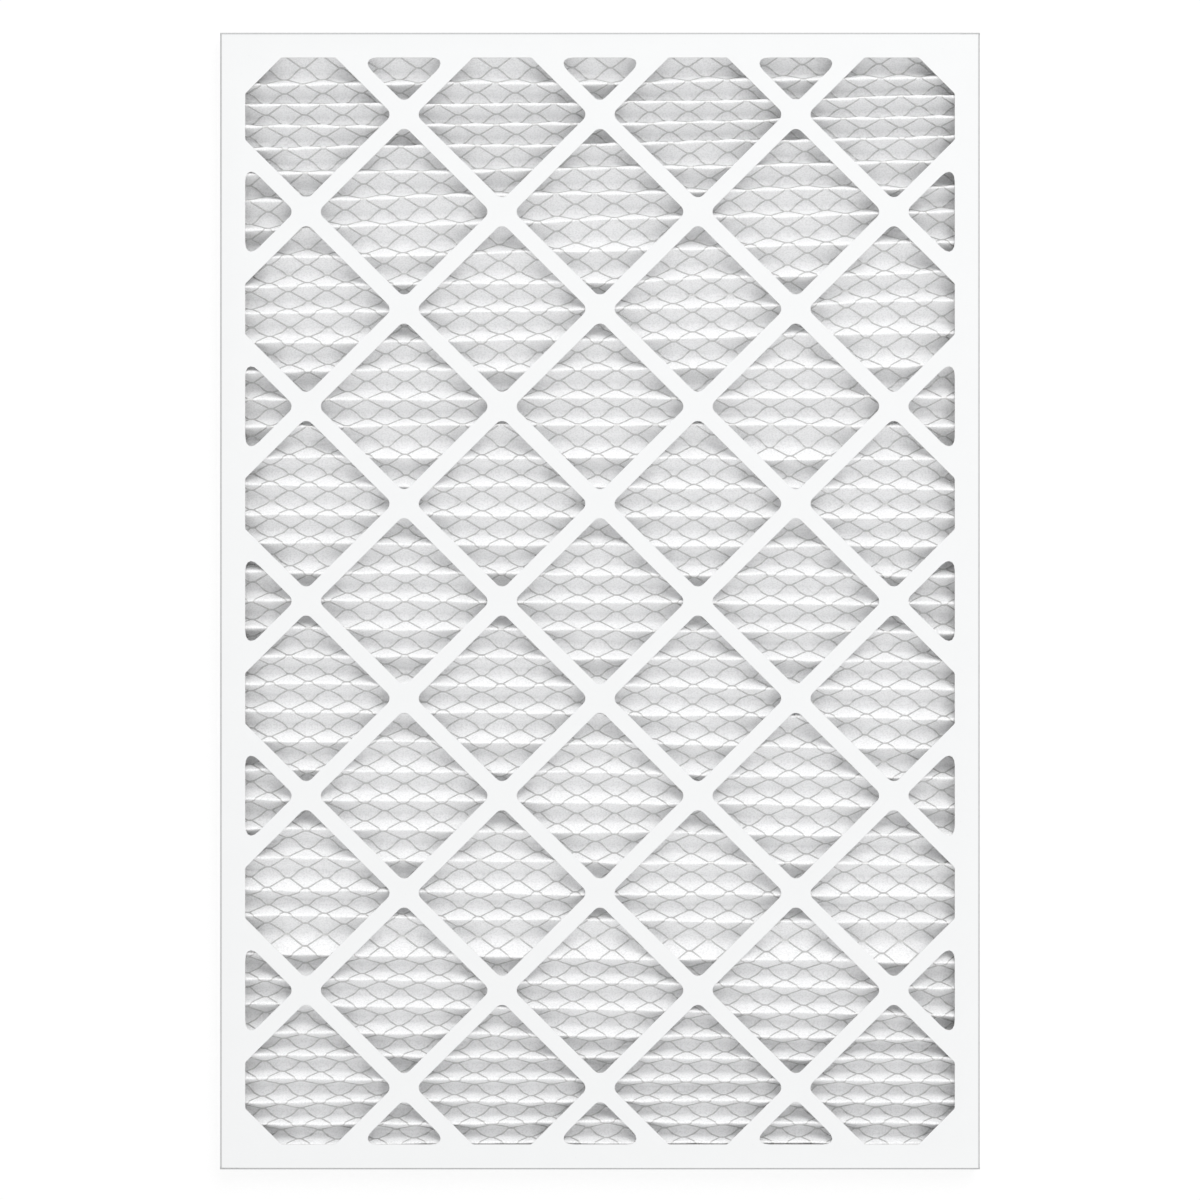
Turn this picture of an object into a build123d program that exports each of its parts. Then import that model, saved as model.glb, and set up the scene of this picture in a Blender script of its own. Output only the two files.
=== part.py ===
from build123d import *
import math
import os

# A pleated panel air filter for a nominal 20 x 30 x 1 in slot. Two nested trays of die-cut
# board hold a pleated sheet of nonwoven media, which has an expanded-metal backing on its
# air-leaving side and is glued to the tray walls along its four edges.
#
# The filter lies on its rear face. Z points out of the air-leaving face, X runs along the
# pleats (the short side) and Y along the long side, from foot to head. The origin is the
# middle of the rear face.

# Driving dimensions, mm
WIDTH = 498.5  # 19 5/8 in
LENGTH = 746.0  # 29 3/8 in
THICKNESS = 19.0  # 3/4 in

# Frame board
BOARD = 0.7  # 28 point clay-coated board
FOLD_RADIUS = 1.2  # outside of a scored fold
GLUE_LINE = 0.1  # between a corner tab and the wall that it is glued to
TAB = 28.0  # length of a corner tab beyond its fold
TAB_TAPER = 4.0  # how far a tab narrows towards its free end, on each side

# Lattice die-cut in both faces
BORDER = 16.5
LATTICE_PITCH_X = 128.5  # from one strap crossing to the next
LATTICE_PITCH_Y = 127.7
STRAP = 10.6  # across one strap
CORNER_CUT = 23.6  # legs of the blunt corner of the four corner windows
CROSSING_CUT = 3.2  # a window's corner where two straps cross, blunted to this leg
TIP_CUT = 7.0  # a window's 45 degree tip at the border, blunted to this leg

# Pleat pack
MEDIA = 1.8  # thickness of the media
GLUE_BED = 1.8  # glue between the pack's edges and the tray walls
BACKING_RISE = 0.7  # height of the backing over the media, measured along Z
# Pleats from head to foot, as (how many, pitch). The pack is stretched into the frame by
# hand, so it is tight at the head and the foot and has one wide pleat near the foot.
PLEAT_ZONES = ((1, 16.8), (5, 14.0), (1, 16.5), (25, 19.0), (1, 24.3), (3, 17.1), (5, 14.2), (1, 13.1))

# Expanded-metal backing. Every sixth strand of the real metal is here, as a wider ribbon.
DIAMOND_LONG = 25.4  # long way of one diamond, along X
DIAMOND_SHORT = 24.4  # short way of one diamond, along the unfolded sheet
STRANDS_KEPT = 6
RIBBON = 2.6  # across one ribbon

# Worked out from the driving dimensions
FOLD_INSIDE = FOLD_RADIUS - BOARD
OPENING_HALF_X = WIDTH / 2 - BORDER
OPENING_HALF_Y = LENGTH / 2 - BORDER
INNER_HALF_X = WIDTH / 2 - BOARD  # outside of the rear tray's long walls
INNER_HALF_Y = LENGTH / 2 - 2 * BOARD - GLUE_LINE  # clear of the front tray's corner tabs
WALL_X = INNER_HALF_X - BOARD  # inside of the rear tray's long walls
WALL_Y = INNER_HALF_Y - BOARD
TAB_Y = WALL_Y - GLUE_LINE - BOARD  # inside of the rear tray's corner tabs
PACK_HALF_X = WALL_X - GLUE_BED
PACK_HALF_Y = WALL_Y - GLUE_BED
INNER_TOP = THICKNESS - BOARD  # underside of the front face
RIDGE_Z = INNER_TOP - BACKING_RISE  # top of the media at a ridge
VALLEY_Z = BOARD + MEDIA  # top of the media at the bottom of a valley
UPRIGHT = (Align.CENTER, Align.CENTER, Align.MIN)


def diamond(long_way, short_way, rib):
    """One gap of a diagonal lattice whose ribs are `rib` wide, centred on the origin."""
    diagonal = math.hypot(long_way, short_way)
    reach_x = (long_way - rib * diagonal / short_way) / 2
    reach_y = (short_way - rib * diagonal / long_way) / 2
    return Polygon((reach_x, 0), (0, reach_y), (-reach_x, 0), (0, -reach_y), align=None)


def lattice(long_way, short_way, rib, field):
    """(column, row, gap) for each gap of a diagonal lattice that has some area in the field."""
    size = field.bounding_box().size
    columns = math.ceil(size.X / long_way)
    rows = math.ceil(size.Y / short_way)
    gaps = []
    for column in range(-columns, columns + 1):
        for row in range(-rows, rows + 1):
            if (column + row) % 2 == 0:
                place = Pos(column * long_way / 2, row * short_way / 2)
                gap = place * diamond(long_way, short_way, rib) & field
                if gap and gap.area > rib**2:
                    gaps.append((column, row, gap))
    return gaps


def on_border(vertex):
    """Whether a window's corner lies on a side of the opening."""
    gap_x = abs(abs(vertex.X) - OPENING_HALF_X)
    gap_y = abs(abs(vertex.Y) - OPENING_HALF_Y)
    return min(gap_x, gap_y) < 1e-6


def face_windows():
    """All windows of one frame face, with their corners blunted."""
    opening = Rectangle(2 * OPENING_HALF_X, 2 * OPENING_HALF_Y)
    opening = chamfer(opening.vertices(), CORNER_CUT)
    windows = []
    for column, row, window in lattice(LATTICE_PITCH_X, LATTICE_PITCH_Y, STRAP, opening):
        crossings = [corner for corner in window.vertices() if not on_border(corner)]
        window = chamfer(crossings, CROSSING_CUT)
        centred_x = abs(column) * LATTICE_PITCH_X / 2 < OPENING_HALF_X
        centred_y = abs(row) * LATTICE_PITCH_Y / 2 < OPENING_HALF_Y
        if not (centred_x and centred_y):
            window = chamfer([corner for corner in window.vertices() if on_border(corner)], TIP_CUT)
        windows.append(window)
    return windows


def fold_turn():
    """Quarter turn of board at a fold, from the face to a wall whose outside is x = 0."""
    ring = Circle(FOLD_RADIUS) - Circle(FOLD_INSIDE)
    quarter = Rectangle(FOLD_RADIUS, FOLD_RADIUS, align=(Align.MIN, Align.MAX))
    return Pos(-FOLD_RADIUS, FOLD_RADIUS) * (ring & quarter)


def wall_section(height):
    """The part of a wall beyond its fold, up to `height`."""
    return Pos(0, FOLD_RADIUS) * Rectangle(BOARD, height - FOLD_RADIUS, align=(Align.MAX, Align.MIN))


def corner_tab(half_x, half_y, height):
    """Glue tab at the head end of the right-hand wall, turned in behind the short wall."""
    tab_y = half_y - BOARD - GLUE_LINE
    rise = height - FOLD_RADIUS
    turn = Pos(half_x, tab_y, FOLD_RADIUS) * extrude(mirror(fold_turn(), about=Plane.XZ), rise)
    flap = Polygon((0, 0), (0, rise), (-TAB, rise - TAB_TAPER), (-TAB, TAB_TAPER), align=None)
    return turn + Pos(half_x - FOLD_RADIUS, tab_y, FOLD_RADIUS) * extrude(Plane.XZ * flap, BOARD)


def tray(half_x, half_y, height, short_half, windows):
    """A folded tray lying on its face: windowed face, four walls, four corner tabs."""
    face = Rectangle(2 * (half_x - FOLD_RADIUS), 2 * (half_y - FOLD_RADIUS)) - windows
    wall_end = half_y - BOARD - GLUE_LINE - FOLD_RADIUS
    long_wall = extrude(Plane.XZ * wall_section(height), wall_end, both=True)
    long_wall += extrude(Plane.XZ * fold_turn(), half_y - FOLD_RADIUS, both=True)
    short_wall = extrude(Plane.XZ * (wall_section(height) + fold_turn()), short_half, both=True)
    tab = corner_tab(half_x, half_y, height)
    pieces = []
    for turn in (0, 180):
        pieces.append(Rot(0, 0, turn) * Pos(half_x, 0, 0) * long_wall)
        pieces.append(Rot(0, 0, turn + 90) * Pos(half_y, 0, 0) * short_wall)
        pieces.append(Rot(0, 0, turn) * tab)
        pieces.append(Rot(0, 0, turn) * mirror(tab, about=Plane.XZ))
    return extrude(face, BOARD) + pieces


def pleat_line():
    """Zigzag of the media's air-leaving surface in the YZ plane, from head ridge to foot ridge."""
    pitches = [pitch for count, pitch in PLEAT_ZONES for _ in range(count)]
    scale = 2 * PACK_HALF_Y / sum(pitches)
    ridge = PACK_HALF_Y
    points = [(ridge, RIDGE_Z)]
    for pitch in pitches:
        points.append((ridge - pitch * scale / 2, VALLEY_Z))
        ridge -= pitch * scale
        points.append((ridge, RIDGE_Z))
    return points


def pleated_media():
    """The pleated sheet. Its two ends stand upright and its valleys lie flat on the rear face."""
    surface = Polyline((PACK_HALF_Y, BOARD), *pleat_line(), (-PACK_HALF_Y, BOARD))
    section = make_face(offset(surface, MEDIA, side=Side.LEFT, kind=Kind.INTERSECTION))
    above_face = Pos(0, BOARD) * Rectangle(LENGTH, THICKNESS, align=(Align.CENTER, Align.MIN))
    return extrude(Plane.YZ * (section & above_face), PACK_HALF_X, both=True)


def mesh_backing():
    """The expanded-metal backing, folded with the media and lying on its air-leaving side."""
    under = pleat_line()
    over = [(y, z + BACKING_RISE) for y, z in reversed(under)]
    sheet = extrude(Plane.YZ * make_face(Polyline(*under, *over, close=True)), PACK_HALF_X, both=True)
    main_pitch = max(PLEAT_ZONES)[1]
    flat_pitch = 2 * math.hypot(main_pitch / 2, RIDGE_Z - VALLEY_Z)
    long_way = DIAMOND_LONG * STRANDS_KEPT
    short_way = DIAMOND_SHORT * STRANDS_KEPT * main_pitch / flat_pitch
    field = Rectangle(2 * (PACK_HALF_X - RIBBON), 2 * (PACK_HALF_Y - RIBBON))
    gaps = [gap for _, _, gap in lattice(long_way, short_way, RIBBON, field)]
    return sheet - [extrude(gap, THICKNESS) for gap in gaps]


def side_glue():
    """Glue bed along the right-hand wall, over the pleats' ends."""
    section = Rectangle(GLUE_BED, INNER_TOP - BOARD, align=Align.MIN)
    seat = section.vertices().sort_by(Axis.Y)[:2].sort_by(Axis.X)[-1]
    bed = extrude(Plane.XZ * fillet(seat, FOLD_INSIDE), PACK_HALF_Y, both=True)
    return Pos(PACK_HALF_X, 0, BOARD) * bed


def end_glue():
    """Glue bed along the head wall: it fills the room between the corner tabs and laps them."""
    height = INNER_TOP - BOARD
    over_tabs = Box(2 * (WALL_X - FOLD_INSIDE), TAB_Y - PACK_HALF_Y, height, align=UPRIGHT)
    section = Rectangle(WALL_Y - PACK_HALF_Y, height, align=(Align.MAX, Align.MIN))
    seat = section.vertices().sort_by(Axis.Y)[:2].sort_by(Axis.X)[-1]
    between_tabs = extrude(Plane.YZ * fillet(seat, FOLD_INSIDE), INNER_HALF_X - FOLD_RADIUS - TAB, both=True)
    bed = Pos(0, (TAB_Y + PACK_HALF_Y) / 2, 0) * over_tabs + Pos(0, WALL_Y, 0) * between_tabs
    return Pos(0, 0, BOARD) * bed


windows = face_windows()
front = tray(WIDTH / 2, LENGTH / 2, THICKNESS, WIDTH / 2, windows)
rear = tray(INNER_HALF_X, INNER_HALF_Y, INNER_TOP - FOLD_INSIDE, INNER_HALF_X - FOLD_INSIDE, windows)
parts = {
    "front_frame": Pos(0, 0, THICKNESS) * Rot(180, 0, 0) * front,
    "rear_frame": rear,
    "pleated_media": pleated_media(),
    "mesh_backing": mesh_backing(),
    "right_edge_glue": side_glue(),
    "left_edge_glue": Rot(0, 0, 180) * side_glue(),
    "head_edge_glue": end_glue(),
    "foot_edge_glue": Rot(0, 0, 180) * end_glue(),
}

os.makedirs("parts", exist_ok=True)
for name, shape in parts.items():
    export_step(shape, f"parts/{name}.step")
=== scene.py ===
import math

import bmesh
import bpy
import numpy as np
from bpy.props import FloatProperty, FloatVectorProperty, PointerProperty
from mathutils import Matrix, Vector


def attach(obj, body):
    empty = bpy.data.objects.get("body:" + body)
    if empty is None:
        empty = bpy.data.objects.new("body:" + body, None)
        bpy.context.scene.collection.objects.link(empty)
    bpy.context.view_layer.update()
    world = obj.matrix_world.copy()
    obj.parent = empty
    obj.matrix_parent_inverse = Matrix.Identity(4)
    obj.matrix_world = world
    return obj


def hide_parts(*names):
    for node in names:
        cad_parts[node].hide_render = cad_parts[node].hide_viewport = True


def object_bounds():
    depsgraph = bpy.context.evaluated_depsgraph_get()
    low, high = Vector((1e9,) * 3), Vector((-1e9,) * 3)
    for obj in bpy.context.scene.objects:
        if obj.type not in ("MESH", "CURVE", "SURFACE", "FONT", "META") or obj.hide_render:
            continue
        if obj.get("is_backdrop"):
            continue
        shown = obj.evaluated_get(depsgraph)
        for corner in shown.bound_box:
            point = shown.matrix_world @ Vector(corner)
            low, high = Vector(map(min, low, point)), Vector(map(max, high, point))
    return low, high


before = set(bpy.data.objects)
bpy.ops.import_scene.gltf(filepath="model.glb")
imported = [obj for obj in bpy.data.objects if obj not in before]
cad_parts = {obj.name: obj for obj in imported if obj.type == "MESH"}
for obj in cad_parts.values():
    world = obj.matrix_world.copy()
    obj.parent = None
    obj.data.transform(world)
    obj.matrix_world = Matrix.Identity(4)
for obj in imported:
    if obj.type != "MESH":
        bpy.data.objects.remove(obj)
CAD_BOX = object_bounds()

bl_info = {
    "name": "Pleated panel air filter",
    "version": (1, 0, 0),
    "blender": (4, 5, 0),
    "location": "3D View > Sidebar > Air filter",
    "description": "A pleated panel filter in a die-cut board frame, with a metal backing",
    "category": "Add Mesh",
}

# The filter lies on its rear face. Z points out of the air-leaving face, X runs along the
# pleats and Y along the long side, from foot to head.
MM = 0.001

# Pleats from head to foot, as (how many, pitch in mm). They are uneven, as the pack is
# stretched into the frame by hand.
PLEAT_RUNS = (
    (1, 11.0), (1, 18.4), (3, 13.4), (2, 15.95), (1, 17.4), (2, 20.4), (1, 18.1), (2, 19.6),
    (1, 18.7), (1, 17.4), (1, 22.0), (4, 19.1), (5, 18.3), (3, 19.4), (2, 19.7), (1, 21.0),
    (1, 17.1), (1, 24.6), (1, 16.4), (2, 17.25), (2, 14.45), (2, 13.8), (2, 13.6),
)  # fmt: skip
# How far the ridges' left and right ends lie towards the head from their middles, as
# (y, left, right) in mm. The pack was pulled in a little out of square.
RIDGE_PULL = (
    (-373, 0.0, 0.0), (-341, -2.0, -1.0), (-323, 0.0, -0.5), (-295, 2.0, -0.5), (-268, 3.0, -3.5),
    (-249, 2.5, -3.0), (-190, 3.0, -0.5), (-139, 2.0, -2.5), (-102, 1.5, -3.5), (-38, 1.0, -2.0),
    (26, 1.5, -0.5), (81, 1.0, -1.0), (118, -1.5, -1.0), (155, -1.0, 2.5), (173, -2.0, 4.5),
    (210, -2.5, 6.0), (247, -6.0, 4.5), (265, -4.5, 3.5), (302, -2.0, 4.5), (338, -0.5, 4.0),
    (373, 0.0, 1.0),
)  # fmt: skip
# How far a valley lies towards the foot from the middle of its pleat, as (y, shift) in mm.
PLEAT_LEAN = ((-373, 0.3), (200, 0.3), (290, 1.8), (373, 1.8))
# Where the ends that RIDGE_PULL speaks of lie, as a part of the width from the middle
PULL_REACH = 0.4
# A valley stays at least this far from the ridge on its foot side
VALLEY_ROOM = 4.6 * MM
# How a ridge wanders, as (length of a wave in mm, share of the phase, share of the height), and
# the same shares for a wave from strand to strand
WANDER_WAVES = ((190, 1.0, 1.0), (83, 1.7, 0.6))
STRAND_WAVE = (3.0, 0.5)
WANDER_PHASE = 2.4
# Where the backing isn't bowed, as twice the part of the unfolded sheet from the head
BOW_TURN = 0.9


def length(name, default, description):
    """A length in metres that a user can change, given in mm."""
    return FloatProperty(
        name=name, description=description, default=default * MM, unit="LENGTH", precision=5
    )


def colour(name, default, description):
    """A linear colour that a user can change."""
    return FloatVectorProperty(
        name=name, description=description, default=default, subtype="COLOR", size=3, min=0, max=1
    )


class BoardSizes(bpy.types.PropertyGroup):
    """Sizes of the two board trays."""

    width: length("Width", 498.5, "Outside width of the frame, along the pleats")
    length: length("Length", 746.0, "Outside length of the frame")
    thickness: length("Thickness", 19.0, "Outside thickness of the frame")
    board: length("Board", 0.7, "Caliper of the frame board")
    fold_radius: length("Fold radius", 1.2, "Outside radius of a scored fold")
    glue_line: length("Glue line", 0.1, "Between a corner tab and its wall")
    tab: length("Corner tab", 28.0, "Length of a corner tab beyond its fold")
    tab_taper: length("Tab taper", 4.0, "How far a tab narrows on each side")
    border: length("Border", 16.5, "Width of the frame's face around the lattice")
    pitch_x: length("Lattice pitch across", 128.5, "Between strap crossings across the face")
    pitch_y: length("Lattice pitch along", 127.7, "Between strap crossings along the face")
    strap: length("Strap", 10.6, "Width of a lattice strap")
    corner_cut: length("Corner cut", 23.6, "Legs of the blunt corner of a corner window")
    crossing_round: length("Crossing round", 5.0, "Radius where two straps cross")
    tip_round: length("Tip round", 5.2, "Radius of an acute window tip at the border")
    side_round: length("Side round", 2.2, "Radius of an obtuse window corner at the border")
    edge_round: length("Edge round", 0.08, "How far a die-cut edge is crushed")


class PackSizes(bpy.types.PropertyGroup):
    """Sizes of the pleated media and its backing."""

    media: length("Media", 1.8, "Thickness of the media")
    glue_bed: length("Glue bed", 1.8, "Glue between the pack's edges and the tray walls")
    rise: length("Backing rise", 0.7, "Room for the backing over the media's ridges")
    ridge_radius: length("Ridge radius", 0.8, "Radius of the media over a ridge")
    valley_radius: length("Valley radius", 2.75, "Radius of the media in a valley")
    crease: length("Crease", 0.3, "Radius inside a ridge, seen from the rear")
    pillow: length("Pillow", 0.65, "How far the media swells through a diamond")
    wander: length("Wander", 0.4, "How far a ridge wanders from a straight line")
    diamond_long: length("Diamond, long way", 25.3, "Long way of one diamond, along the pleats")
    diamond_short: length("Diamond, short way", 23.6, "Short way, along the unfolded sheet")
    diamond_side: length("Diamond, to one side", -1.5, "From mid-width to the nearest bond")
    diamond_down: length("Diamond, down", 1.0, "From the middle ridge to the nearest bonds")
    bow: length("Bow", 6.2, "How far the backing bows to the left towards its ends")
    bond_half: length("Half bond", 1.9, "Half the length of a bond between strands")
    bond_flat: length("Bond flat", 1.33, "Half the length of a bond's straight edges")
    bond_rise: length("Bond rise", 0.66, "Half the width of a bond")
    gauge: length("Gauge", 0.55, "Thickness of the expanded metal")


class FilterColours(bpy.types.PropertyGroup):
    """Colours of the filter's materials."""

    board: colour("Board coat", (0.836, 0.843, 0.846), "Clay coat of the frame board")
    core: colour("Board core", (0.60, 0.585, 0.55), "Cut edge of the frame board")
    media: colour("Media", (0.968, 0.970, 0.976), "Nonwoven media")
    steel: colour("Backing", (0.65, 0.65, 0.645), "Galvanised expanded metal")
    glue: colour("Glue", (0.82, 0.79, 0.70), "Dried glue")
    floor: colour("Floor", (1.0, 1.0, 1.0), "Plain floor")


# Editing by hand


def deselect():
    """Leaves edit mode with nothing selected."""
    if bpy.context.object and bpy.context.object.mode == "EDIT":
        bpy.ops.object.mode_set(mode="OBJECT")
    bpy.ops.object.select_all(action="DESELECT")


def work_on(piece):
    """Selects one piece and makes it active."""
    deselect()
    piece.select_set(True)
    bpy.context.view_layer.objects.active = piece


def edit(piece):
    """Opens a piece in edit mode with nothing selected."""
    work_on(piece)
    bpy.ops.object.mode_set(mode="EDIT")
    bpy.ops.mesh.select_mode(type="VERT")
    bpy.ops.mesh.select_all(action="DESELECT")


def close_up(piece):
    """Turns all faces of a piece outwards."""
    edit(piece)
    bpy.ops.mesh.select_all(action="SELECT")
    bpy.ops.mesh.normals_make_consistent(inside=False)
    bpy.ops.object.mode_set(mode="OBJECT")


def choose(piece, kind, test):
    """Selects the "verts" or "edges" that pass a test of their middle and ends."""
    bpy.ops.mesh.select_all(action="DESELECT")
    mesh = bmesh.from_edit_mesh(piece.data)
    chosen = 0
    for item in getattr(mesh, kind):
        if kind == "verts":
            middle, ends = item.co, (item.co,)
        else:
            ends = [corner.co for corner in item.verts]
            middle = sum(ends, Vector()) / len(ends)
        if test(middle, ends):
            item.select_set(True)
            chosen += 1
    mesh.select_flush_mode()
    bmesh.update_edit_mesh(piece.data)
    return chosen


def cut(co, no, clear_outer=False):
    """Bisects everything in edit mode with a plane."""
    bpy.ops.mesh.select_all(action="SELECT")
    bpy.ops.mesh.bisect(plane_co=co, plane_no=no, clear_outer=clear_outer, threshold=1e-7)
    bpy.ops.mesh.select_all(action="DESELECT")


def new_piece(name):
    """Names the primitive that was just added."""
    piece = bpy.context.object
    piece.name = name
    piece.data.name = name
    return piece


def modify(piece, kind, **settings):
    """Adds a modifier to a piece and applies it."""
    work_on(piece)
    modifier = piece.modifiers.new(kind.title(), kind)
    for key, value in settings.items():
        setattr(modifier, key, value)
    bpy.ops.object.modifier_apply(modifier=modifier.name)


def settle(piece):
    """Applies a piece's place to its mesh."""
    work_on(piece)
    bpy.ops.object.transform_apply(location=True, rotation=True, scale=True)


def seat(piece, slot, *nodes):
    """Puts a finished piece on the frame in place of its plain nodes."""
    settle(piece)
    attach(piece, "root")
    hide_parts(*nodes)


# Finishes


class Wire:
    """A socket in a finish. Arithmetic on it adds Math nodes."""

    def __init__(self, finish, socket):
        self.finish = finish
        self.socket = socket

    def maths(self, operation, *values):
        """A Math node on the given values. This wire is only used if it is one of them."""
        return self.finish.node("Math", {"operation": operation}, dict(enumerate(values)))

    def __add__(self, other):
        return self.maths("ADD", self, other)

    def __mul__(self, other):
        return self.maths("MULTIPLY", self, other)

    def __sub__(self, other):
        return self.maths("SUBTRACT", self, other)

    def __rsub__(self, other):
        return self.maths("SUBTRACT", other, self)

    __radd__ = __add__


class Finish:
    """A procedural material, built from the object's own coordinates."""

    def __init__(self, name):
        self.material = bpy.data.materials.new(name)
        self.material.use_nodes = True
        self.tree = self.material.node_tree
        self.shader = self.tree.nodes["Principled BSDF"]
        self.place = self.node("TexCoord", output="Object")

    def node(self, kind, settings=None, inputs=None, output=0):
        """Adds a node, sets it up, joins its inputs and gives one of its outputs."""
        made = self.tree.nodes.new("ShaderNode" + kind)
        for key, value in (settings or {}).items():
            if key == "stops":
                made.color_ramp.elements[0].position, made.color_ramp.elements[1].position = value
            else:
                setattr(made, key, value)
        for key, value in (inputs or {}).items():
            self.join(value, made.inputs[key])
        return Wire(self, made.outputs[output])

    def join(self, value, socket):
        """Links a wire to a socket, or sets the socket's value."""
        if isinstance(value, Wire):
            self.tree.links.new(value.socket, socket)
        else:
            socket.default_value = value

    def axes(self):
        """The place's three coordinates."""
        parts = self.node("SeparateXYZ", inputs={"Vector": self.place}).socket.node.outputs
        return [Wire(self, part) for part in parts]

    def noise(self, scale, detail=2.0, stretch=None, seed=0.0, roughness=0.5):
        """Noise with features of about 1/scale metres, stretched along the given axes."""
        place = self.place
        if stretch or seed:
            moved = {"Location": (seed, seed, seed), "Scale": stretch or (1, 1, 1)}
            place = self.node("Mapping", inputs={"Vector": place, **moved})
        return self.node(
            "TexNoise",
            inputs={"Vector": place, "Scale": scale, "Detail": detail, "Roughness": roughness},
        )

    def ramp(self, value, low, high):
        """0 below low, 1 above high."""
        return self.node("ValToRGB", {"stops": (low, high)}, {"Fac": value})

    def band(self, value, low, high):
        """Like ramp, for distances in metres, which need a finer step."""
        return self.node("MapRange", inputs={0: value, 1: low, 2: high})

    def blend(self, factor, first, second):
        """A mix of two colours."""
        return self.node("Mix", {"data_type": "RGBA"}, {0: factor, 6: first, 7: second}, 2)

    def bump(self, height, distance, strength=1.0, under=None):
        """A bump of the given depth in metres."""
        inputs = {"Height": height, "Distance": distance, "Strength": strength}
        if under:
            inputs["Normal"] = under
        return self.node("Bump", inputs=inputs)

    def set(self, **sockets):
        """Sets or joins the shader's sockets, named with _ for a space."""
        for key, value in sockets.items():
            self.join(value, self.shader.inputs[key.replace("_", " ")])
        return self.material


def tone(rgb, factor=1.0):
    """A colour with alpha, darker or lighter than the one given."""
    return (rgb[0] * factor, rgb[1] * factor, rgb[2] * factor, 1.0)


# Painted shade: the coat is darkened along the outer folds, where each fold turns away from the
# light.
# It fades in between two distances from the outline, and out again between two distances below the
# face.
FOLD_SHADE_SIDE = 1.35 * MM, 0.75 * MM
FOLD_SHADE_BELOW = 0.5 * MM, 1.1 * MM
FOLD_SHADE_TONE = 0.42


def coated_board(rgb, half_x, half_y, face):
    """Clay-coated board: even and satin, faintly mottled, with painted shade along the outer folds.
    """
    finish = Finish("coated_board")
    x, y, z = finish.axes()
    # masks for the painted shade along the outer folds, just below the face
    side = finish.band(x.maths("ABSOLUTE", x), half_x - FOLD_SHADE_SIDE[0], half_x - FOLD_SHADE_SIDE[1])
    end = finish.band(y.maths("ABSOLUTE", y), half_y - FOLD_SHADE_SIDE[0], half_y - FOLD_SHADE_SIDE[1])
    drop = z - face
    below = 1 - finish.band(drop.maths("ABSOLUTE", drop), *FOLD_SHADE_BELOW)
    fold_shade = side.maths("MAXIMUM", side, end) * below
    cloud = finish.noise(55, 3)
    fibre = finish.noise(900, 4, (1.0, 0.45, 1.0), roughness=0.65)
    speck = finish.ramp(finish.noise(420, 2, seed=0.31), 0.69, 0.78)
    coat = finish.blend(cloud * 0.6 + fibre * 0.4, tone(rgb), tone(rgb, 0.965))
    coat = finish.blend(speck * 0.35, coat, tone(rgb, 0.90))
    # painted shade: the coat is darkened along the outer folds
    coat = finish.blend(fold_shade * (fibre * 0.4 + 0.6), coat, tone(rgb, FOLD_SHADE_TONE))
    relief = finish.bump(fibre + cloud * 0.5, 0.00003, 0.6)
    return finish.set(
        Base_Color=coat, Roughness=0.46 + fibre * 0.10, Specular_IOR_Level=0.35, Normal=relief
    )


def board_core(rgb):
    """Cut edge of the board: dull layered fibre."""
    finish = Finish("board_core")
    ply = finish.noise(700, 3, (1.0, 1.0, 6.0))
    flock = finish.noise(2600, 2)
    core = finish.blend(ply * 0.7 + flock * 0.3, tone(rgb, 1.12), tone(rgb, 0.86))
    return finish.set(
        Base_Color=core, Roughness=0.9 + flock * 0.05, Specular_IOR_Level=0.1,
        Normal=finish.bump(flock, 0.00006, 0.7),
    )  # fmt: skip


def nonwoven(rgb):
    """Lofty white nonwoven: tangled fibres, thinner and denser patches."""
    finish = Finish("nonwoven_media")
    cloud = finish.noise(70, 4, roughness=0.6)
    tuft = finish.noise(420, 4, roughness=0.7)
    across = finish.noise(1500, 3, (0.2, 1.0, 1.0), seed=0.7, roughness=0.7)
    along = finish.noise(1500, 3, (1.0, 0.25, 0.25), seed=1.9, roughness=0.7)
    fibre = across.maths("MAXIMUM", across, along)
    pore = finish.ramp(finish.noise(850, 2, seed=3.1), 0.44, 0.60)
    web = finish.blend(finish.ramp(cloud, 0.35, 0.7), tone(rgb), tone(rgb, 0.97))
    web = finish.blend(pore * 0.6, web, tone(rgb, 0.77))
    web = finish.blend(finish.ramp(fibre, 0.50, 0.75) * 0.5, web, tone(rgb, 1.02))
    relief = finish.bump(tuft, 0.0008, 0.5)
    relief = finish.bump(fibre, 0.00025, 0.5, relief)
    return finish.set(
        Base_Color=web, Roughness=0.92 + cloud * 0.06, Specular_IOR_Level=0.12, Normal=relief
    )


def galvanised(rgb):
    """Dull galvanised steel with a fine spangle and slit marks."""
    finish = Finish("galvanised_backing")
    spangle = finish.node("TexVoronoi", inputs={"Vector": finish.place, "Scale": 520})
    dull = finish.noise(1400, 3, roughness=0.6)
    skin = finish.blend(spangle * 0.8, tone(rgb, 1.1), tone(rgb, 0.82))
    return finish.set(
        Base_Color=skin, Metallic=0.85, Roughness=0.42 + dull * 0.22,
        Normal=finish.bump(dull, 0.00003, 0.6),
    )  # fmt: skip


def dried_glue(rgb):
    """Dried adhesive: slightly yellow, smooth, in runs and beads."""
    finish = Finish("dried_glue")
    run = finish.noise(160, 3, (1.0, 1.0, 2.5))
    skin = finish.noise(1200, 2)
    bead = finish.blend(run, tone(rgb, 1.05), tone(rgb, 0.85))
    relief = finish.bump(run + skin * 0.2, 0.0004, 0.6)
    return finish.set(Base_Color=bead, Roughness=0.32 + skin * 0.2, Normal=relief)


# How much of the floor's own white the camera sees, next to its lit cloth
FLOOR_GLOW = 0.8


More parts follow.
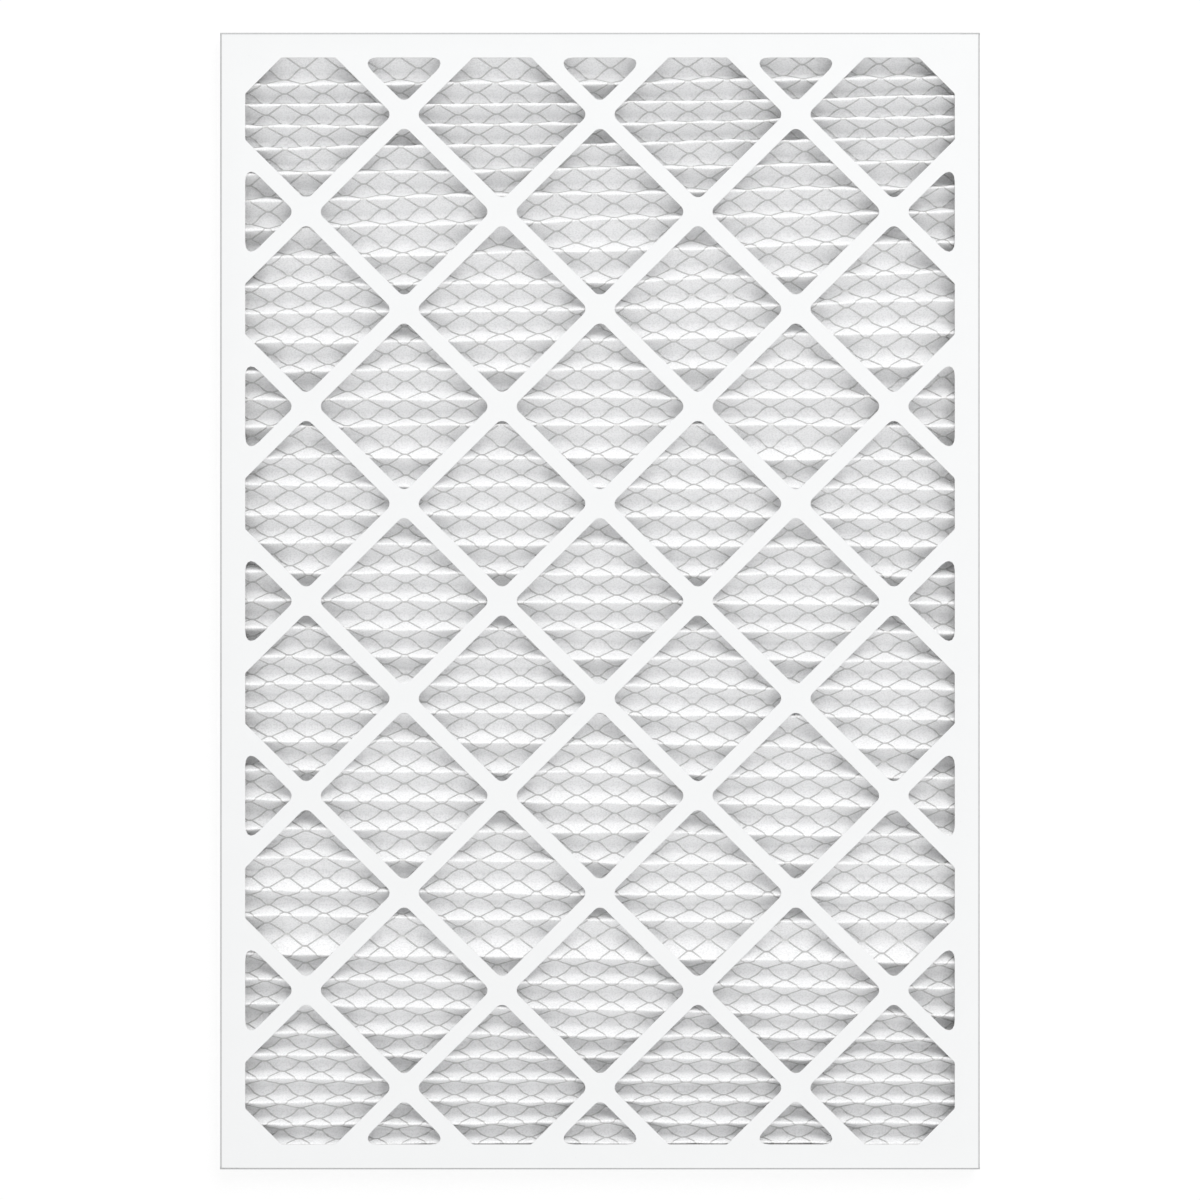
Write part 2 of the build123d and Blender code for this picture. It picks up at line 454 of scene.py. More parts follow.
def plain_floor(rgb):
    """Plain white sweep with hardly any texture. It keeps a weak shadow in the camera's view."""
    finish = Finish("plain_floor")
    grain = finish.noise(40, 2)
    seen = finish.node("LightPath", output="Is Camera Ray")
    glow = finish.node("Emission", inputs={"Color": tone(rgb), "Strength": 1.0})
    finish.set(
        Base_Color=finish.blend(grain, tone(rgb), tone(rgb, 0.995)),
        Roughness=0.95, Specular_IOR_Level=0.0,
    )  # fmt: skip
    cloth = Wire(finish, finish.shader.outputs[0])
    lit = finish.node("MixShader", inputs={0: seen * FLOOR_GLOW, 1: cloth, 2: glow})
    finish.join(lit, finish.tree.nodes["Material Output"].inputs["Surface"])
    return finish.material


# Die-cut board


# Points nearer than this, in metres, are taken as one
NEAR = 1e-6
# Facets of a rounded corner or fold
ROUND_FACETS = 5
# The corner tabs' folds stay this clear of the short walls' folds
TAB_SLACK = 0.1 * MM
# The board's edges are crushed where they turn by more than the first angle, and faces are
# shaded as one where they turn by less than the others
CRUSHED, BOARD_SMOOTH, MEDIA_SMOOTH, STEEL_SMOOTH = map(math.radians, (50, 28, 60, 50))


def at(value, target, near=NEAR):
    """Whether a coordinate lies at the given distance from the middle, on either side."""
    return abs(abs(value) - target) < near


def cut_window(sizes, column, row):
    """The cutter for one window of the lattice, open side down, with all its corners rounded."""
    long_way, short_way = sizes.pitch_x, sizes.pitch_y
    diagonal = math.hypot(long_way, short_way)
    reach_x = (long_way - sizes.strap * diagonal / short_way) / 2
    reach_y = (short_way - sizes.strap * diagonal / long_way) / 2
    open_x = sizes.width / 2 - sizes.border
    open_y = sizes.length / 2 - sizes.border
    # the cutter stands clear of the board by its caliper on both sides
    clear = sizes.board
    centre_x, centre_y = column * long_way / 2, row * short_way / 2
    bpy.ops.mesh.primitive_circle_add(vertices=4, radius=1, fill_type="NGON")
    cutter = new_piece("window_cutter")
    bpy.ops.object.mode_set(mode="EDIT")
    bpy.ops.transform.resize(value=(reach_x, reach_y, 1))
    bpy.ops.transform.translate(value=(centre_x, centre_y, -clear))
    for side in (-1, 1):
        cut((side * open_x, 0, 0), (side, 0, 0), True)
        cut((0, side * open_y, 0), (0, side, 0), True)
        for end in (-1, 1):
            cut((side * (open_x - sizes.corner_cut), end * open_y, 0), (side, end, 0), True)
    bpy.ops.mesh.select_all(action="SELECT")
    bpy.ops.mesh.dissolve_limited(angle_limit=math.radians(2))
    inside = abs(centre_x) < open_x and abs(centre_y) < open_y

    def on_border(point):
        blunt = open_x + open_y - sizes.corner_cut
        sides = (point.x, open_x), (point.y, open_y), (abs(point.x) + abs(point.y), blunt)
        return any(at(place, side, 10 * NEAR) for place, side in sides)

    # a corner is rounded from radius * tan(turn / 2) on: it turns by 45 degrees at the side of
    # a window, and by 135 at an acute tip
    half_turn = math.tan(math.radians(45 / 2))
    tip = sizes.side_round * half_turn if inside else sizes.tip_round / half_turn
    for reach, wanted in ((sizes.crossing_round, False), (tip, True)):
        if choose(cutter, "verts", lambda middle, ends: on_border(middle) == wanted):
            bpy.ops.mesh.bevel(
                offset=reach, segments=ROUND_FACETS, affect="VERTICES", profile=0.5
            )
    bpy.ops.mesh.select_all(action="SELECT")
    bpy.ops.mesh.extrude_region_move(TRANSFORM_OT_translate={"value": (0, 0, 3 * clear)})
    bpy.ops.mesh.select_all(action="SELECT")
    bpy.ops.mesh.normals_make_consistent(inside=False)
    bpy.ops.object.mode_set(mode="OBJECT")
    return cutter


def copy_moved(piece, offset):
    """A copy of a piece with its own mesh, moved along."""
    work_on(piece)
    bpy.ops.object.duplicate(linked=False)
    copy = bpy.context.object
    copy.location = offset
    settle(copy)
    return copy


# Windows whose middles lie further out than this part beyond the border aren't cut
REACH_OUT = 0.15
# Half columns and rows from the middle whose windows the border doesn't touch
PLAIN_COLUMNS, PLAIN_ROWS = 2, 4


def window_cutters(sizes, core):
    """All the windows' cutters as one mesh. Each kind is modelled once and copied."""
    columns = math.ceil(sizes.width / sizes.pitch_x)
    rows = math.ceil(sizes.length / sizes.pitch_y)
    open_x = sizes.width / 2 - sizes.border
    open_y = sizes.length / 2 - sizes.border
    models, cutters = {}, []
    for column in range(-columns, columns + 1):
        for row in range(-rows, rows + 1):
            out_x = abs(column) * sizes.pitch_x / 2 / open_x
            out_y = abs(row) * sizes.pitch_y / 2 / open_y
            outer = max(out_x, out_y) > 1 + REACH_OUT or min(out_x, out_y) > 1
            if (column + row) % 2 or outer:
                continue
            kind = (
                column if abs(column) > PLAIN_COLUMNS else 0,
                row if abs(row) > PLAIN_ROWS else 0,
            )
            if kind in models:
                model, from_column, from_row = models[kind]
                step_x = (column - from_column) * sizes.pitch_x / 2
                step_y = (row - from_row) * sizes.pitch_y / 2
                cutters.append(copy_moved(model, (step_x, step_y, 0)))
            else:
                model = cut_window(sizes, column, row)
                models[kind] = (model, column, row)
                cutters.append(model)
    deselect()
    for cutter in cutters:
        cutter.select_set(True)
    bpy.context.view_layer.objects.active = cutters[0]
    bpy.ops.object.join()
    joined = bpy.context.object
    joined.data.materials.append(core)
    return joined


def fold_tray(name, sizes, half_x, half_y, height, short_half, coat, core):
    """A board tray lying on its face: windowed face, four walls, four corner tabs."""
    relief = 2 * sizes.fold_radius
    wall_y = half_y - sizes.board - sizes.glue_line
    fold_y = wall_y - sizes.fold_radius - TAB_SLACK
    bpy.ops.mesh.primitive_plane_add(size=2)
    tray = new_piece(name)
    edit(tray)
    bpy.ops.mesh.select_all(action="SELECT")
    bpy.ops.transform.resize(value=(half_x, half_y, 1))
    for side in (-1, 1):
        cut((0, side * fold_y, 0), (0, 1, 0))
        if short_half < half_x:
            cut((side * short_half, 0, 0), (1, 0, 0))
    bpy.ops.mesh.select_mode(type="EDGE")
    # the long walls, then the short walls
    for test in (
        lambda middle, ends: at(middle.x, half_x) and abs(middle.y) < fold_y * 0.9,
        lambda middle, ends: at(middle.y, half_y)
        and all(abs(end.x) < short_half + NEAR for end in ends),
    ):
        choose(tray, "edges", test)
        bpy.ops.mesh.extrude_edges_move(TRANSFORM_OT_translate={"value": (0, 0, relief)})
        bpy.ops.mesh.extrude_edges_move(TRANSFORM_OT_translate={"value": (0, 0, height - relief)})
    # the corner tabs, turned in behind the short walls
    for side in (-1, 1):
        for end in (-1, 1):
            choose(
                tray,
                "edges",
                lambda middle, ends: abs(middle.x - side * half_x) < NEAR
                and all(abs(point.y - end * fold_y) < NEAR for point in ends)
                and min(point.z for point in ends) > relief / 2,
            )
            bpy.ops.mesh.extrude_edges_move(
                TRANSFORM_OT_translate={"value": (0, end * (wall_y - fold_y), 0)}
            )
            bpy.ops.mesh.extrude_edges_move(
                TRANSFORM_OT_translate={"value": (-side * (sizes.fold_radius + sizes.tab), 0, 0)}
            )
            span = height - relief
            bpy.ops.transform.resize(value=(1, 1, (span - 2 * sizes.tab_taper) / span))
    # the scored folds
    choose(
        tray,
        "edges",
        lambda middle, ends: all(point.z < NEAR for point in ends)
        and (
            all(at(point.x, half_x) for point in ends)
            and abs(middle.y) < fold_y * 0.9
            or all(at(point.y, half_y) for point in ends)
            and all(abs(point.x) < short_half + NEAR for point in ends)
        )
        or all(at(point.x, half_x) for point in ends)
        and all(at(point.y, wall_y) for point in ends)
        and ends[0].z != ends[1].z,
    )
    bpy.ops.mesh.bevel(
        offset=sizes.fold_radius, segments=ROUND_FACETS, profile=0.5, clamp_overlap=False
    )
    bpy.ops.mesh.select_all(action="SELECT")
    bpy.ops.mesh.remove_doubles(threshold=NEAR)
    bpy.ops.mesh.select_all(action="SELECT")
    bpy.ops.mesh.normals_make_consistent(inside=False)
    bpy.ops.object.mode_set(mode="OBJECT")
    tray.data.materials.append(coat)
    tray.data.materials.append(core)
    modify(
        tray, "SOLIDIFY", thickness=sizes.board, offset=-1, use_even_offset=True,
        material_offset_rim=1,
    )  # fmt: skip
    cutters = window_cutters(sizes, core)
    modify(
        tray, "BOOLEAN", object=cutters, operation="DIFFERENCE", solver="EXACT",
        material_mode="TRANSFER",
    )  # fmt: skip
    work_on(cutters)
    bpy.ops.object.delete()
    modify(
        tray, "BEVEL", width=sizes.edge_round, segments=1, limit_method="ANGLE",
        angle_limit=CRUSHED, use_clamp_overlap=True, material=-1,
    )  # fmt: skip
    work_on(tray)
    bpy.ops.object.shade_smooth_by_angle(angle=BOARD_SMOOTH)
    return tray


# Pleated pack


def flank_angle(across, drop, radii):
    """How far a flank leans from upright between a rounded ridge and a rounded valley."""
    return math.atan2(across, drop) - math.asin(radii / math.hypot(across, drop))


def pleat_section(pitch, lean, peak, floor, ridge, valley, flank_rows):
    """One pleat's surface from ridge to ridge: [(distance from the first ridge, height)]."""
    drop = peak - ridge - floor - valley
    first, second = pitch / 2 + lean, pitch / 2 - lean
    turn_a = math.pi / 2 - flank_angle(first, drop, ridge + valley)
    turn_b = math.pi / 2 - flank_angle(second, drop, ridge + valley)

    def over(centre, angle):
        return centre + ridge * math.sin(angle), peak - ridge + ridge * math.cos(angle)

    def under(angle):
        return first - valley * math.sin(angle), floor + valley - valley * math.cos(angle)

    points = [over(0, 0), over(0, turn_a / 2), over(0, turn_a)]
    start, end = points[-1], under(turn_a)
    points += [mix(start, end, i / flank_rows) for i in range(1, flank_rows)]
    points += [under(turn_a), under(turn_a / 3), under(-turn_b / 3), under(-turn_b)]
    start, end = points[-1], over(pitch, -turn_b)
    points += [mix(start, end, i / flank_rows) for i in range(1, flank_rows)]
    points += [over(pitch, -turn_b), over(pitch, -turn_b / 2)]
    return points


def mix(start, end, part):
    """A point part of the way from start to end."""
    return tuple(a + (b - a) * part for a, b in zip(start, end))


def along(table, y, column=1):
    """Reads a column of a small table that starts with y, in mm, at a place in metres."""
    places = np.array([row[0] for row in table]) * MM
    return np.interp(y, places, np.array([row[column] for row in table]) * MM)


class Pleats:
    """The pleated surface: where each point of the flat sheet lies once it is folded."""

    FLANK_ROWS = 3

    def __init__(self, board, pack):
        wall = board.board * 2
        # at an end a corner tab and its glue lie between the two walls, too
        self.half_x = board.width / 2 - wall - pack.glue_bed
        self.half_y = board.length / 2 - 2 * wall - board.glue_line + board.board - pack.glue_bed
        self.width = board.width
        self.pack = pack
        self.peak = board.thickness - board.board - pack.rise
        self.floor = board.board
        pitches = np.array([pitch for count, pitch in PLEAT_RUNS for _ in range(count)])
        self.pitches = pitches * 2 * self.half_y / pitches.sum()
        self.ridges = self.half_y - np.concatenate(([0], np.cumsum(self.pitches)))
        self.top = self.rows(
            self.peak, self.floor + pack.media, pack.ridge_radius, pack.valley_radius
        )
        self.under = self.rows(
            self.peak - pack.media, self.floor, pack.crease, pack.valley_radius + pack.media
        )
        flat = self.ridges[0] - self.straight(self.top)
        steps = np.hypot(np.diff(flat), np.diff(self.top[2]))
        self.flat = np.concatenate(([0], np.cumsum(steps)))
        ridge_rows = np.flatnonzero(self.top[1] == 0)
        self.first_bond = self.flat[ridge_rows[len(pitches) // 2]] + pack.diamond_down

    def straight(self, rows):
        """The rows' places along Y, before skew and wander."""
        pleat, part, _ = rows
        return self.ridges[pleat] - part * np.append(self.pitches, 0)[pleat]

    def rows(self, peak, floor, ridge, valley):
        """All rows of one side of the sheet, as (pleat, part of its pitch, height)."""
        pleats, parts, heights = [], [], []
        for index, pitch in enumerate(self.pitches):
            lean = float(along(PLEAT_LEAN, self.ridges[index]))
            lean = min(lean, pitch / 2 - VALLEY_ROOM)
            section = pleat_section(pitch, lean, peak, floor, ridge, valley, self.FLANK_ROWS)
            for distance, height in section:
                pleats.append(index)
                parts.append(distance / pitch)
                heights.append(height)
        pleats.append(len(self.pitches))
        parts.append(0.0)
        heights.append(peak)
        return np.array(pleats), np.array(parts), np.array(heights)

    def ridge_y(self, index, x):
        """Where a ridge runs, with the pull at its ends and its wander."""
        y = self.ridges[index]
        pull = np.where(x < 0, along(RIDGE_PULL, y), along(RIDGE_PULL, y, 2))
        pull = pull * abs(x) / (PULL_REACH * self.width)
        phase = index * WANDER_PHASE
        turn, share = STRAND_WAVE
        wander = np.sin(2 * math.pi * x / self.pack.diamond_long + phase * turn) * share
        for wave, turn, share in WANDER_WAVES:
            wander = wander + np.sin(2 * math.pi * x / (wave * MM) + phase * turn) * share
        ends = np.clip(np.minimum(index, len(self.pitches) - index), 0, 1)
        return y + (pull + wander * self.pack.wander) * ends

    def place(self, rows, x, k):
        """The folded place of row k at x."""
        pleat, part, height = rows[0][k], rows[1][k], rows[2][k]
        here = self.ridge_y(pleat, x)
        there = self.ridge_y(np.minimum(pleat + 1, len(self.pitches)), x)
        y = here + (there - here) * part
        return np.stack([x + 0 * y, y, height + 0 * y], -1)

    def fold(self, x, flat):
        """The folded place of points on the flat sheet's air-leaving side."""
        k = np.clip(np.searchsorted(self.flat, flat, side="right") - 1, 0, len(self.flat) - 2)
        part = (flat - self.flat[k]) / (self.flat[k + 1] - self.flat[k])
        start, end = self.place(self.top, x, k), self.place(self.top, x, k + 1)
        return start + (end - start) * part[:, None]

    def bow(self, flat):
        """How far the backing lies to one side, as it was laid a little bowed."""
        return -self.pack.bow * (2 * flat / self.flat[-1] - BOW_TURN) ** 2

    def swell(self, x, flat):
        """How far the media stands up through the middle of a diamond, 0 at a strand."""
        across = (x - self.pack.diamond_side - self.bow(flat)) / self.pack.diamond_long
        down = (flat - self.first_bond) / self.pack.diamond_short
        return np.sin(math.pi * (across + down)) ** 2 * np.sin(math.pi * (across - down)) ** 2


# Columns of faces across the media, on its air-leaving side and on the side behind it
TOP_COLUMNS, UNDER_COLUMNS = 108, 36


def folded_media(board, pack, web):
    """The nonwoven sheet, pleated, standing up at its two ends."""
    pleats = Pleats(board, pack)
    count = len(pleats.flat)
    wide, narrow = TOP_COLUMNS, UNDER_COLUMNS
    top_x = np.linspace(-pleats.half_x, pleats.half_x, wide + 1)
    low_x = np.linspace(-pleats.half_x, pleats.half_x, narrow + 1)

    def side(rows, columns, flat=None):
        k = np.repeat(np.arange(count), len(columns))
        x = np.tile(columns, count)
        points = pleats.place(rows, x, k).reshape(count, len(columns), 3)
        if flat is not None:
            grid = np.gradient(points, axis=0), np.gradient(points, axis=1)
            normal = np.cross(grid[1], grid[0])
            normal /= np.linalg.norm(normal, axis=2, keepdims=True)
            normal *= np.where(normal[:, :, 2:] < 0, -1, 1)
            swell = pleats.swell(x, flat[k]).reshape(count, len(columns), 1)
            points = points + normal * swell * pack.pillow
        return points

    top = side(pleats.top, top_x, pleats.flat)
    low = side(pleats.under, low_x)

    def skirt(points, inset):
        # both ends stand up against the end glue, and drop straight to the rear face
        points[0, :, 1], points[-1, :, 1] = pleats.half_y - inset, inset - pleats.half_y
        head, foot = points[:1].copy(), points[-1:].copy()
        head[:, :, 2] = foot[:, :, 2] = board.board
        return np.concatenate([head, points, foot])

    top, low = skirt(top, 0.0), skirt(low, pack.media)
    rows = len(top)
    vertices = np.concatenate([top.reshape(-1, 3), low.reshape(-1, 3)])
    base = rows * (wide + 1)
    faces = []
    for row in range(rows - 1):
        for column in range(wide):
            a = row * (wide + 1) + column
            faces.append((a, a + wide + 1, a + wide + 2, a + 1))
        for column in range(narrow):
            a = base + row * (narrow + 1) + column
            faces.append((a, a + 1, a + narrow + 2, a + narrow + 1))
        left, low_left = row * (wide + 1), base + row * (narrow + 1)
        faces.append((left, low_left, low_left + narrow + 1, left + wide + 1))
        right, low_right = left + wide, low_left + narrow
        faces.append((right, right + wide + 1, low_right + narrow + 1, low_right))
    faces.append([*range(wide + 1), *range(base + narrow, base - 1, -1)])
    last, low_last = (rows - 1) * (wide + 1), base + (rows - 1) * (narrow + 1)
    faces.append([*range(last + wide, last - 1, -1), *range(low_last, low_last + narrow + 1)])
    mesh = bpy.data.meshes.new("nonwoven_media")
    mesh.from_pydata(vertices.tolist(), [], faces)
    mesh.update()
    media = bpy.data.objects.new("nonwoven_media", mesh)
    bpy.context.collection.objects.link(media)
    media.data.materials.append(web)
    close_up(media)
    bpy.ops.object.shade_smooth_by_angle(angle=MEDIA_SMOOTH)
    seat(media, "media", "pleated_media")
    2 * pleats.half_x


def reshape(piece, shape):
    """Moves a piece's vertices to where shape puts them, as it is told where they are."""
    here = np.zeros(len(piece.data.vertices) * 3, np.float32)
    piece.data.vertices.foreach_get("co", here)
    there = shape(here.reshape(-1, 3).astype(float))
    piece.data.vertices.foreach_set("co", there.astype(np.float32).ravel())
    piece.data.update()


# Ends of strands that are nearer than this are joined
STRAND_GAP = 0.02 * MM
# How the steel's gauge lies on the media's skin, from -1 for all below to 1 for all above
STEEL_ABOVE = 0.8


def repeat(piece, count, step):
    """Repeats a piece along a step, joined where its copies meet."""
    modify(
        piece, "ARRAY", count=count, use_relative_offset=False, use_constant_offset=True,
        constant_offset_displace=step, use_merge_vertices=True, merge_threshold=STRAND_GAP,
    )  # fmt: skip


def expanded_backing(board, pack, steel):
    """Expanded metal: one cell modelled flat, repeated, and folded with the media."""
    pleats = Pleats(board, pack)
    half_long, half_short = pack.diamond_long / 2, pack.diamond_short / 2
    # a hexagon is flattened to one bond and copied to the next row, with four strands between
    bpy.ops.mesh.primitive_circle_add(vertices=6, radius=pack.bond_half, fill_type="NGON")
    backing = new_piece("expanded_backing")
    edit(backing)
    bpy.ops.mesh.select_all(action="SELECT")
    bpy.ops.transform.rotate(value=math.pi / 2, orient_axis="Z", center_override=(0, 0, 0))
    tip = pack.bond_half * 0.9
    choose(backing, "verts", lambda middle, ends: abs(middle.x) < tip)
    square = math.sqrt(3) / 2
    flatter = pack.bond_flat / (pack.bond_half / 2), pack.bond_rise / (pack.bond_half * square)
    bpy.ops.transform.resize(value=(*flatter, 1), center_override=(0, 0, 0))
    bpy.ops.mesh.select_all(action="SELECT")
    bpy.ops.mesh.duplicate_move(TRANSFORM_OT_translate={"value": (half_long, half_short, 0)})
    reach = half_long - pack.bond_half - pack.bond_flat, half_short - pack.bond_rise
    bpy.ops.mesh.select_mode(type="EDGE")
    for side in (-1, 1):
        for end in (-1, 1):
            choose(
                backing,
                "edges",
                lambda middle, ends: middle.x * side > pack.bond_flat
                and abs(middle.x) < pack.bond_half
                and middle.y * end > pack.bond_rise / 4
                and abs(middle.y) < pack.bond_rise,
            )
            bpy.ops.mesh.extrude_edges_move(
                TRANSFORM_OT_translate={"value": (side * reach[0], end * reach[1], 0)}
            )
    bpy.ops.mesh.select_all(action="SELECT")
    start = pack.diamond_short - pleats.first_bond % pack.diamond_short
    bpy.ops.transform.translate(value=(0, start, 0))
    bpy.ops.object.mode_set(mode="OBJECT")
    total = float(pleats.flat[-1])
    repeat(backing, math.ceil(total / pack.diamond_short) + 3, (0, -pack.diamond_short, 0))
    edit(backing)
    cut((0, 0, 0), (0, 1, 0), True)
    cut((0, -total, 0), (0, -1, 0), True)
    # the flat net is cut along every row of a bend, but not within the straight flanks
    over_ridge, to_valley_end = 2, 5 + pleats.FLANK_ROWS
    per_pleat = to_valley_end + pleats.FLANK_ROWS + over_ridge
    bends = over_ridge, to_valley_end
    flank = [bend + i for bend in bends for i in range(1, pleats.FLANK_ROWS)]
    for index, flat in enumerate(pleats.flat[1:-1], 1):
        if index % per_pleat not in flank:
            cut((0, -float(flat), 0), (0, 1, 0))
    bpy.ops.object.mode_set(mode="OBJECT")
    across = math.ceil(2 * pleats.half_x / pack.diamond_long) + 1
    across += across % 2
    repeat(backing, across + 1, (pack.diamond_long, 0, 0))
    edit(backing)
    bpy.ops.mesh.select_all(action="SELECT")
    aside = pack.diamond_side - across / 2 * pack.diamond_long
    bpy.ops.transform.translate(value=(aside, 0, 0))
    bpy.ops.mesh.remove_doubles(threshold=STRAND_GAP)
    bpy.ops.object.mode_set(mode="OBJECT")
    reshape(backing, lambda flat: flat + pleats.bow(-flat[:, 1:2]) * (1, 0, 0))
    edit(backing)
    cut((pleats.half_x, 0, 0), (1, 0, 0), True)
    cut((-pleats.half_x, 0, 0), (-1, 0, 0), True)
    bpy.ops.object.mode_set(mode="OBJECT")
    reshape(backing, lambda flat: pleats.fold(flat[:, 0], np.clip(-flat[:, 1], 0, total)))
    mesh = backing.data
    close_up(backing)
    faces_up = sum(face.normal.z for face in mesh.polygons) > 0
    above = STEEL_ABOVE if faces_up else -STEEL_ABOVE
    mesh.materials.append(steel)
    modify(backing, "SOLIDIFY", thickness=pack.gauge, offset=above)
    close_up(backing)
    bpy.ops.object.shade_smooth_by_angle(angle=STEEL_SMOOTH)
    seat(backing, "backing", "mesh_backing")


# Operators


class FILTER_OT_front_board(bpy.types.Operator):
    """Fold the front tray, whose lattice holds the air-leaving side"""

    bl_idname = "mesh.filter_front_board"
    bl_label = "Front board"

    def execute(self, context):
        sizes, paint = context.scene.filter_board, context.scene.filter_colours
        half_x, half_y = sizes.width / 2, sizes.length / 2
        tray = fold_tray(
            "front_board", sizes, half_x, half_y, sizes.thickness, half_x,
            coated_board(paint.board, half_x, half_y, sizes.thickness), board_core(paint.core),
        )  # fmt: skip
        tray.rotation_euler = (math.pi, 0, 0)
        tray.location = (0, 0, sizes.thickness)
        seat(tray, "front_board", "front_frame")
        return {"FINISHED"}


class FILTER_OT_rear_board(bpy.types.Operator):
    """Fold the rear tray, which slides inside the front one"""

    bl_idname = "mesh.filter_rear_board"
    bl_label = "Rear board"

    def execute(self, context):
        sizes, paint = context.scene.filter_board, context.scene.filter_colours
        inside = sizes.fold_radius - sizes.board
        half_x = sizes.width / 2 - sizes.board
        half_y = sizes.length / 2 - 2 * sizes.board - sizes.glue_line
        tray = fold_tray(
            "rear_board", sizes, half_x, half_y, sizes.thickness - sizes.board - inside,
            half_x - inside, coated_board(paint.board, half_x, half_y, 0.0), board_core(paint.core),
        )  # fmt: skip
        seat(tray, "rear_board", "rear_frame")
        return {"FINISHED"}


class FILTER_OT_media(bpy.types.Operator):
    """Pleat the nonwoven media"""

    bl_idname = "mesh.filter_media"
    bl_label = "Pleated media"

    def execute(self, context):
        scene = context.scene
        folded_media(scene.filter_board, scene.filter_pack, nonwoven(scene.filter_colours.media))
        return {"FINISHED"}


class FILTER_OT_backing(bpy.types.Operator):
    """Lay the expanded-metal backing over the pleats"""

    bl_idname = "mesh.filter_backing"
    bl_label = "Expanded backing"

    def execute(self, context):
        scene = context.scene
        steel = galvanised(scene.filter_colours.steel)
        expanded_backing(scene.filter_board, scene.filter_pack, steel)
        return {"FINISHED"}


class FILTER_OT_glue(bpy.types.Operator):
    """Finish the glue beds along the four edges of the pack"""

    bl_idname = "mesh.filter_glue"
    bl_label = "Edge glue"

    def execute(self, context):
        glue = dried_glue(context.scene.filter_colours.glue)
        for name in ("right_edge_glue", "left_edge_glue", "head_edge_glue", "foot_edge_glue"):
            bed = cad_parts[name]
            bed.data.materials.clear()
            bed.data.materials.append(glue)
        return {"FINISHED"}


# The stage, in metres, with the room's and the seen background's strength, the lamp's energy in
# watts and the camera's sensor in mm
FLOOR_SIZE, FLOOR_DROP = 12, 0.2 * MM
ROOM_LIGHT, SEEN_WHITE = 0.845, 1.0
KEY_FROM, KEY_DISTANCE, KEY_SIZE, KEY_ENERGY = (0.28, 0.60, 0.78), 6.0, 4.0, 146
CAMERA_DISTANCE, CAMERA_Y, VIEW_WIDTH, SENSOR_WIDTH = 2.6, 0.66 * MM, 0.7872, 36


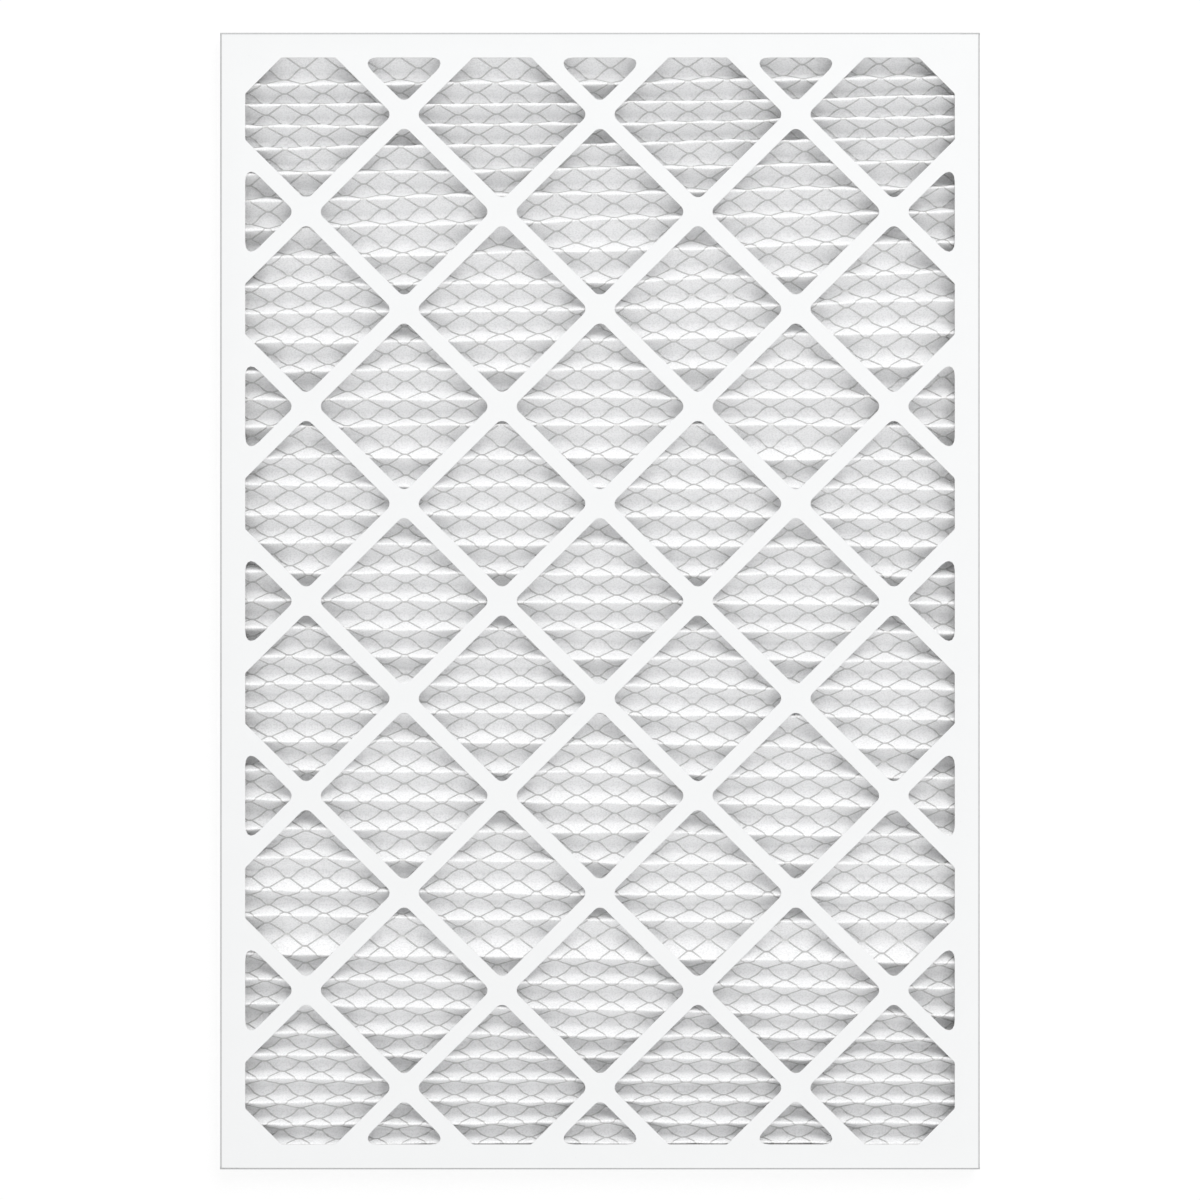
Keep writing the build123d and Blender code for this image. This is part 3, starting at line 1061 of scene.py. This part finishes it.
class FILTER_OT_stage(bpy.types.Operator):
    """Set the floor, the lamps and the camera"""

    bl_idname = "mesh.filter_stage"
    bl_label = "Stage"

    def execute(self, context):
        scene = context.scene
        low, high = CAD_BOX
        bpy.ops.mesh.primitive_plane_add(size=FLOOR_SIZE, location=(0, 0, low[2] - FLOOR_DROP))
        floor = new_piece("floor")
        settle(floor)
        floor.data.materials.append(plain_floor(scene.filter_colours.floor))
        floor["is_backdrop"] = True

        world = bpy.data.worlds.new("studio")
        scene.world = world
        world.use_nodes = True
        nodes, links = world.node_tree.nodes, world.node_tree.links
        room, white = nodes["Background"], nodes.new("ShaderNodeBackground")
        for shade, strength in ((room, ROOM_LIGHT), (white, SEEN_WHITE)):
            shade.inputs["Color"].default_value = (1, 1, 1, 1)
            shade.inputs["Strength"].default_value = strength
        path, seen = nodes.new("ShaderNodeLightPath"), nodes.new("ShaderNodeMath")
        seen.operation = "MAXIMUM"
        links.new(path.outputs["Is Camera Ray"], seen.inputs[0])
        links.new(path.outputs["Is Glossy Ray"], seen.inputs[1])
        mixed = nodes.new("ShaderNodeMixShader")
        links.new(seen.outputs[0], mixed.inputs["Fac"])
        links.new(room.outputs[0], mixed.inputs[1])
        links.new(white.outputs[0], mixed.inputs[2])
        links.new(mixed.outputs[0], nodes["World Output"].inputs["Surface"])

        key = Vector(KEY_FROM).normalized()
        bpy.ops.object.light_add(type="AREA", location=key * KEY_DISTANCE)
        lamp = bpy.context.object
        lamp.name = "window_light"
        lamp.data.shape = "SQUARE"
        lamp.data.size = KEY_SIZE
        lamp.data.energy = KEY_ENERGY
        lamp.rotation_euler = (-key).to_track_quat("-Z", "Y").to_euler()

        camera = bpy.data.cameras.new("camera")
        taken = bpy.data.objects.new("camera", camera)
        scene.collection.objects.link(taken)
        camera.sensor_width = SENSOR_WIDTH
        camera.lens = SENSOR_WIDTH * CAMERA_DISTANCE / VIEW_WIDTH
        taken.location = (0, CAMERA_Y, high[2] + CAMERA_DISTANCE)
        scene.camera = taken
        scene.view_settings.view_transform = "Standard"
        return {"FINISHED"}


class FILTER_PT_panel(bpy.types.Panel):
    """The filter's sizes, colours and building steps"""

    bl_idname = "FILTER_PT_panel"
    bl_label = "Pleated panel air filter"
    bl_space_type = "VIEW_3D"
    bl_region_type = "UI"
    bl_category = "Air filter"

    def draw(self, context):
        layout = self.layout
        for title, group in SETTINGS.items():
            box = layout.box()
            box.label(text=group.__doc__)
            settings = getattr(context.scene, title)
            for name in group.__annotations__:
                box.prop(settings, name)
        for step in STEPS:
            layout.operator(step.bl_idname)


SETTINGS = {"filter_board": BoardSizes, "filter_pack": PackSizes, "filter_colours": FilterColours}
STEPS = (
    FILTER_OT_front_board,
    FILTER_OT_rear_board,
    FILTER_OT_media,
    FILTER_OT_backing,
    FILTER_OT_glue,
    FILTER_OT_stage,
)


def register():
    for group in (*SETTINGS.values(), *STEPS, FILTER_PT_panel):
        bpy.utils.register_class(group)
    for title, group in SETTINGS.items():
        setattr(bpy.types.Scene, title, PointerProperty(type=group))


def unregister():
    for title in SETTINGS:
        delattr(bpy.types.Scene, title)
    for group in reversed((*SETTINGS.values(), *STEPS, FILTER_PT_panel)):
        bpy.utils.unregister_class(group)


def main():
    register()
    deselect()
    for step in STEPS:
        group, name = step.bl_idname.split(".")
        getattr(getattr(bpy.ops, group), name)()
    boxes = {"cad": CAD_BOX, "visual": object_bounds()}
    boxes = {key: [list(map(float, corner)) for corner in box] for key, box in boxes.items()}


if __name__ == "__main__":
    main()
